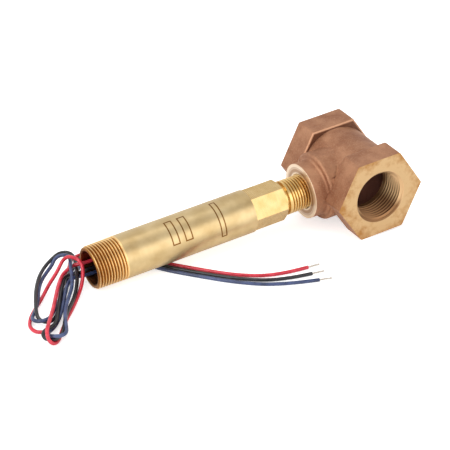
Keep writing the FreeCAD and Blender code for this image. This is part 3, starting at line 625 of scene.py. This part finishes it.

# %% The painted highlights on the edges of the branch face
# Painted highlights: a near-white ring at the mouth of the bore and a pale ring at the outer rim.
mouth = between(tree, from_branch, 10.5 * MM, 11.7 * MM, 0.1 * MM)
near_face = add(tree, "MapRange", {0: along_branch, 1: 34.2 * MM, 2: 34.4 * MM})
mouth = add(tree, "Math", {0: mouth, 1: near_face}, operation="MULTIPLY")
colour = add(tree, "Mix", {0: mouth, 6: colour, 7: "#f8e6c6"}, data_type="RGBA")
rim = between(tree, from_branch, 16.5 * MM, 17.4 * MM, 0.1 * MM)
rim_end = add(tree, "MapRange", {0: along_branch, 1: 34.8 * MM, 2: 34.9 * MM})
rim = add(tree, "Math", {0: rim, 1: rim_end}, operation="MULTIPLY")
colour = add(tree, "Mix", {0: rim, 6: colour, 7: "#ecd2b4"}, data_type="RGBA")
bright = add(tree, "Math", {0: bright, 1: branch_face}, operation="MAXIMUM")

# %% Finish the cast bronze
# Cast skin scatters light. Turned faces shine more, and their tool marks, too fine to
# show, are drawn 0.5 mm apart.
mark_spacing = 0.5 * MM
rough = add(tree, "MapRange", {0: bright, 3: 0.58, 4: 0.34})
lathe = add(tree, "Math", {0: from_axis, 1: math.tau / mark_spacing}, operation="MULTIPLY")
lathe = add(tree, "Math", {0: lathe}, operation="SINE")
lathe = add(tree, "MapRange", {0: lathe, 1: -1.0, 2: 1.0, 3: 0.42, 4: 0.58})
sand = add(tree, "Math", {0: lumps, 1: 3.0, 2: grain}, operation="MULTIPLY_ADD")
height = add(tree, "Mix", {0: bright, 2: sand, 3: lathe})
height = add(tree, "Math", {0: height, 1: pit}, operation="SUBTRACT")
bump = add(tree, "Bump", {"Height": height, "Strength": 0.7, "Distance": 0.16 * MM})
feed(shader, {"Base Color": colour, "Roughness": rough, "Normal": bump, "Metallic": 0.7})
dress(bronze, tee)
print("nodes in the bronze", len(tree.nodes))

# %% [markdown]
# ### Turned brass
# The barrel is turned on a lathe and left satin, with fine rings round it. The
# thread's grooves are painted a darker orange and the bore a darker brown, both
# as painted shade. The pattern is noise that changes quickly along the axis and
# hardly at all round it. Rings as fine as the real ones would not show, so they
# are drawn 0.5 mm apart. The barrel carries no writing. Two plain frames and a
# double line, etched brown, mark the places for it.

# %% Make the barrel's brass
turned, tree, shader = new_material("satin_turned_brass")
place, along = places_along(tree)
ring_size, film_size = 0.5 * MM, 12 * MM
stretched = add(tree, "VectorMath", {0: along, 1: (1 / ring_size, 8.0, 8.0)},
                operation="MULTIPLY")
rings = add(tree, "TexNoise", {"Vector": stretched, "Scale": 1.0, "Detail": 2.0})
cloud = add(tree, "TexNoise", {"Vector": place, "Scale": 1 / film_size, "Detail": 4.0})
cloud = add(tree, "MapRange", {0: cloud, 1: 0.3, 2: 0.7})
base = add(tree, "Mix", {0: cloud, 6: "#bea272", 7: "#d6be90"}, data_type="RGBA")

# %% Colour its thread and its inside, with painted shade in the grooves and the bore
parts = add(tree, "SeparateXYZ", {0: along})
round_axis = add(tree, "VectorMath", {0: along, 1: (0, 1, 1)}, operation="MULTIPLY")
radius = add(tree, "VectorMath", {0: round_axis}, operation="LENGTH")
on_thread = add(tree, "MapRange", {0: parts.outputs[0], 1: 158.9 * MM, 2: 159.4 * MM})
# Painted shade: the thread's grooves are drawn a darker orange.
groove = add(tree, "MapRange", {0: radius, 1: 12.95 * MM, 2: 12.3 * MM})
groove = add(tree, "Math", {0: groove, 1: on_thread}, operation="MULTIPLY")
threaded = add(tree, "Mix", {0: groove, 6: "#f0cc90", 7: "#a87436"}, data_type="RGBA")
base = add(tree, "Mix", {0: on_thread, 6: base, 7: threaded}, data_type="RGBA")
# Painted shade: the bore is drawn a darker brown.
inside = add(tree, "MapRange", {0: radius, 1: 10.9 * MM, 2: 10.3 * MM})
base = add(tree, "Mix", {0: inside, 6: base, 7: "#8a5a38"}, data_type="RGBA")
print("nodes before the frames", len(tree.nodes))

# %% Etch the plain frames and the double line
barrel_radius = 13.335 * MM
line_width = 0.8 * MM
softness = 0.06 * MM
# Each frame's first and last station, then its low and high edge along the arc.
etched_frames = ((116.3, 121.4, 3.4, 19.6), (124.9, 129.9, 3.4, 19.6), (94.3, 98.2, -2.4, 22.1))
angle = add(tree, "Math", {0: parts.outputs[2], 1: parts.outputs[1]}, operation="ARCTAN2")
arc = add(tree, "Math", {0: angle, 1: barrel_radius}, operation="MULTIPLY")
outer = between(tree, radius, 13.2 * MM, 13.5 * MM, 0.02 * MM)
etched = None
for first, last, low, high in etched_frames:
    areas = []
    for inset in (0.0, line_width):
        long = between(tree, parts.outputs[0], first * MM + inset, last * MM - inset, softness)
        tall = between(tree, arc, low * MM + inset, high * MM - inset, softness)
        areas.append(add(tree, "Math", {0: long, 1: tall}, operation="MULTIPLY"))
    outline = add(tree, "Math", {0: areas[0], 1: areas[1]}, operation="SUBTRACT")
    if etched:
        outline = add(tree, "Math", {0: etched, 1: outline}, operation="MAXIMUM")
    etched = outline
etched = add(tree, "Math", {0: etched, 1: outer}, operation="MULTIPLY")
base = add(tree, "Mix", {0: etched, 6: base, 7: "#7a5228"}, data_type="RGBA")

# %% Finish the turned brass
rough = add(tree, "MapRange", {0: rings, 1: 0.3, 2: 0.7, 3: 0.33, 4: 0.45})
bump = add(tree, "Bump", {"Height": rings, "Strength": 0.3, "Distance": 0.03 * MM})
feed(shader, {"Base Color": base, "Roughness": rough, "Normal": bump, "Metallic": 1.0})
dress(turned, upper_body)
print("nodes in the turned brass", len(tree.nodes))

# %% [markdown]
# ### Milled brass
# The lower body is the same brass with milled flats. They are smoother and
# paler than the barrel, with a faint cloudy film, and its thread's grooves carry
# a darker orange as painted shade.
# The cutter's marks are too fine to show, so they are drawn 0.7 mm apart.

# %% Make the lower body's brass
milled, tree, shader = new_material("milled_brass")
place, along = places_along(tree)
film_size, mark_spacing, mark_length = 7 * MM, 0.7 * MM, 9 * MM
cloud = add(tree, "TexNoise", {"Vector": place, "Scale": 1 / film_size, "Detail": 5.0})
marks = (1 / mark_spacing, 1 / mark_length, 1 / mark_length)
cutter = add(tree, "VectorMath", {0: along, 1: marks}, operation="MULTIPLY")
fine = add(tree, "TexNoise", {"Vector": cutter, "Scale": 1.0, "Detail": 2.0})
cloud = add(tree, "MapRange", {0: cloud, 1: 0.35, 2: 0.7})
base = add(tree, "Mix", {0: cloud, 6: "#d4b680", 7: "#c4a268"}, data_type="RGBA")

# %% Colour its thread and finish it
# The grooves carry painted shade up to the relief beside the hexagon, which stays light.
distance = add(tree, "SeparateXYZ", {0: along}).outputs[0]
round_axis = add(tree, "VectorMath", {0: along, 1: (0, 1, 1)}, operation="MULTIPLY")
radius = add(tree, "VectorMath", {0: round_axis}, operation="LENGTH")
on_thread = add(tree, "MapRange", {0: distance, 1: 50.9 * MM, 2: 50.7 * MM})
groove = add(tree, "MapRange", {0: radius, 1: 10.45 * MM, 2: 9.7 * MM})
relief = add(tree, "MapRange", {0: distance, 1: 48.7 * MM, 2: 48.5 * MM})
groove = add(tree, "Math", {0: groove, 1: relief}, operation="MULTIPLY")
threaded = add(tree, "Mix", {0: groove, 6: "#e4c080", 7: "#a87c3a"}, data_type="RGBA")
base = add(tree, "Mix", {0: on_thread, 6: base, 7: threaded}, data_type="RGBA")
rough = add(tree, "MapRange", {0: fine, 1: 0.3, 2: 0.7, 3: 0.2, 4: 0.3})
bump = add(tree, "Bump", {"Height": fine, "Strength": 0.2, "Distance": 0.02 * MM})
feed(shader, {"Base Color": base, "Roughness": rough, "Normal": bump, "Metallic": 1.0})
dress(milled, lower_body)
print("nodes in the milled brass", len(tree.nodes))

# %% [markdown]
# ### The leads and the small parts
# Soft PVC is slightly glossy and a little uneven in colour. The parts inside
# the switch are plain engineering materials. All of them are the same recipe:
# two near colours mixed by noise at the material's own grain size, and a fine
# bump of the same grain, so one function makes them from a short table. Most of
# their real grains are too fine to show, so each is drawn 0.7 to 5 mm coarse.

# %% One recipe for the plain materials
def grained(name, deep, pale, grain_mm, metallic, roughness, bump_mm):
    """A material of two near colours mixed by its own grain, with a bump of that grain."""
    material, tree, shader = new_material(name)
    place = add(tree, "TexCoord").outputs["Object"]
    grain = add(tree, "TexNoise", {"Vector": place, "Scale": 1 / (grain_mm * MM), "Detail": 3.0})
    share = add(tree, "MapRange", {0: grain, 1: 0.35, 2: 0.65})
    base = add(tree, "Mix", {0: share, 6: deep, 7: pale}, data_type="RGBA")
    bump = add(tree, "Bump", {"Height": grain, "Strength": 0.4, "Distance": bump_mm * MM})
    feed(shader, {"Base Color": base, "Normal": bump, "Metallic": metallic,
                  "Roughness": roughness})
    return material


# %% The leads' insulation and strands
nodes = frame["nodes"]
# Extruded PVC: an even colour and a soft shine, with slow waves 5 mm long.
insulation = {
    "red": ("soft_pvc_red", "#c42236", "#dd3c4e"),
    "black": ("soft_pvc_black", "#18181a", "#2c2c30"),
    "blue": ("soft_pvc_slate_blue", "#2c3656", "#46547e"),
}
for colour, (name, deep, pale) in insulation.items():
    pvc = grained(name, deep, pale, 5.0, 0.0, 0.28, 0.02)
    dress(pvc, leads[colour], nodes["inner_lead_" + colour])
# Tinned copper: bright silver, with a warm cast where the tin is thin.
dress(grained("tinned_copper_wire", "#b8aca0", "#e0dcd4", 0.7, 1.0, 0.3, 0.01),
      *strands.values())
print("leads dressed", sorted(insulation))

# %% The pieces inside the switch
# Each row: name, two colours, grain in mm, metallic, roughness, bump in mm, and its pieces.
plain_finishes = [
    # Polished stainless pins and sheet: a soft grey mirror.
    ("bright_stainless_steel", "#a6a4a0", "#b4b2ae", 2.0, 1.0, 0.28, 0.004,
     ["vane_pivot_pin", "vane_carrier", "vane_blade", "vane_rivets", "lever_pivot_pin",
      "magnet_lever"]),
    # Rolled spring strip: a darker, colder grey than the blade that it backs.
    ("spring_steel_strip", "#8e8e90", "#a0a0a2", 2.0, 1.0, 0.26, 0.004,
     ["vane_backing_leaf"]),
    # Pressed and fired powder: nearly black, with no shine.
    ("sintered_ferrite", "#2a2828", "#403c3a", 0.8, 0.0, 0.6, 0.03,
     ["vane_magnet", "lever_magnet"]),
    # Zinc plate: a pale, slightly yellow metal with a clouded shine.
    ("zinc_plated_steel", "#9a9c98", "#c2c2b8", 2.2, 1.0, 0.38, 0.02,
     ["switch_chassis", "switch_screws"]),
    # Moulded resin with wood flour, dyed black: dull with a faint mottle.
    ("black_phenolic", "#1c1815", "#2e2622", 1.4, 0.0, 0.42, 0.03, ["switch_case"]),
    # The same resin in its own colour: a dark, reddish brown.
    ("brown_phenolic", "#3a2418", "#503424", 1.4, 0.0, 0.42, 0.03, ["switch_cover"]),
    # Moulded nylon: milky white with a waxy shine.
    ("white_nylon", "#dcd8cc", "#eae6dc", 1.5, 0.0, 0.45, 0.02, ["switch_plunger"]),
    # Tabs punched from brass sheet: a bright yellow metal.
    ("pressed_brass_tab", "#b8964e", "#d0b068", 1.2, 1.0, 0.32, 0.01,
     ["terminal_common", "terminal_open", "terminal_closed"]),
    # Rolled copper alloy: a warm orange shine.
    ("beryllium_copper_strip", "#b06a40", "#cc8a5c", 1.4, 1.0, 0.26, 0.01,
     ["contact_blade"]),
    # Moulded rubber: black, and it scatters nearly all light.
    ("nitrile_rubber", "#161616", "#262626", 0.9, 0.0, 0.7, 0.03, ["body_o_ring"]),
    # Pressed cotton paper: rust red and dull.
    ("vulcanised_fibre", "#7c3a28", "#94503a", 0.9, 0.0, 0.7, 0.04, ["insulating_sleeve"]),
    # Poured resin: brown black, and smooth as it set.
    ("potting_epoxy", "#241c18", "#3a2e26", 3.0, 0.0, 0.3, 0.05, ["lead_seal"]),
]
for *recipe, wearers in plain_finishes:
    dress(grained(*recipe), *(nodes[wearer] for wearer in wearers))
print("plain finishes", len(plain_finishes))

# %% [markdown]
# ## Floor, light and background
# A floor of white paper and a white world make a plain studio. Paper is matt,
# so it keeps the object's soft shadow and mirrors nothing. The background is
# white because camera, glossy and transmission rays see a world of strength 1,
# while the light on the object stays at a plain level. A large soft box stands
# beside the camera, so the flats that face the viewer shine and the top ones do
# not.

# %% Lay the floor
bpy.ops.mesh.primitive_plane_add(size=3.0, location=(0, 0, 0))
floor = bpy.context.object
floor.name = "floor"
paper, tree, shader = new_material("white_paper_floor")
feed(shader, {"Base Color": "#f4f4f4", "Roughness": 0.9})
seen = add(tree, "LightPath").outputs
direct = add(tree, "Math", {0: seen["Is Camera Ray"], 1: seen["Is Glossy Ray"]},
             operation="MAXIMUM")
power = add(tree, "MapRange", {0: seen["Is Camera Ray"], 3: 0.25, 4: 0.6})
glow = add(tree, "Emission", {0: (1, 1, 1, 1), 1: power})
both = add(tree, "AddShader", {0: shader, 1: glow})
chosen = add(tree, "MixShader", {0: direct, 1: shader, 2: both})
feed(tree.nodes["Material Output"], {0: chosen})
dress(paper, floor)
print("floor", tuple(floor.dimensions))


# %% Hang the lamps
def lamp(name, place, aim, size, power):
    """A square soft box that looks at a point."""
    data = bpy.data.lights.new(name, "AREA")
    data.size = size
    data.energy = power
    box = bpy.data.objects.new(name, data)
    bpy.context.scene.collection.objects.link(box)
    box.location = place
    box.rotation_euler = (Vector(aim) - Vector(place)).to_track_quat("-Z", "Y").to_euler()
    return box


lamps = [
    lamp("front_lamp", (0.35, -0.86, 0.36), (-0.03, 0, 0.02), 0.8, 2.2),
    lamp("top_lamp", (-0.2, 0.1, 1.0), (0, 0, 0.02), 0.7, 3.5),
    lamp("left_lamp", (-0.9, -0.3, 0.5), (0, 0, 0.02), 0.6, 4.0),
]
print("watts", {box.name: round(box.data.energy, 1) for box in lamps})

# %% Light the world
# Metal sees a white horizon and a greyer ceiling, so the turned forms keep their shape.
world = bpy.data.worlds.new("studio")
bpy.context.scene.world = world
world.use_nodes = True
tree = world.node_tree
seen = add(tree, "LightPath").outputs
direct = add(tree, "Math", {0: seen["Is Camera Ray"], 1: seen["Is Transmission Ray"]},
             operation="MAXIMUM")
ray = add(tree, "TexCoord").outputs["Generated"]
rise = add(tree, "SeparateXYZ", {0: ray}).outputs[2]
ceiling = add(tree, "MapRange", {0: rise, 1: 0.6, 2: 0.95, 3: 1.0, 4: 0.6},
              interpolation_type="SMOOTHSTEP")
strength = add(tree, "Mix", {0: seen["Is Glossy Ray"], 2: 0.65, 3: ceiling})
strength = add(tree, "Math", {0: strength, 1: direct}, operation="MAXIMUM")
feed(tree.nodes["Background"], {0: (1, 1, 1, 1), 1: strength})
bpy.context.scene.view_settings.view_transform = "Standard"
print("world", world.name, len(tree.nodes))

# %% [markdown]
# ## The last step

# %% Update the scene and finish
bpy.context.view_layer.update()
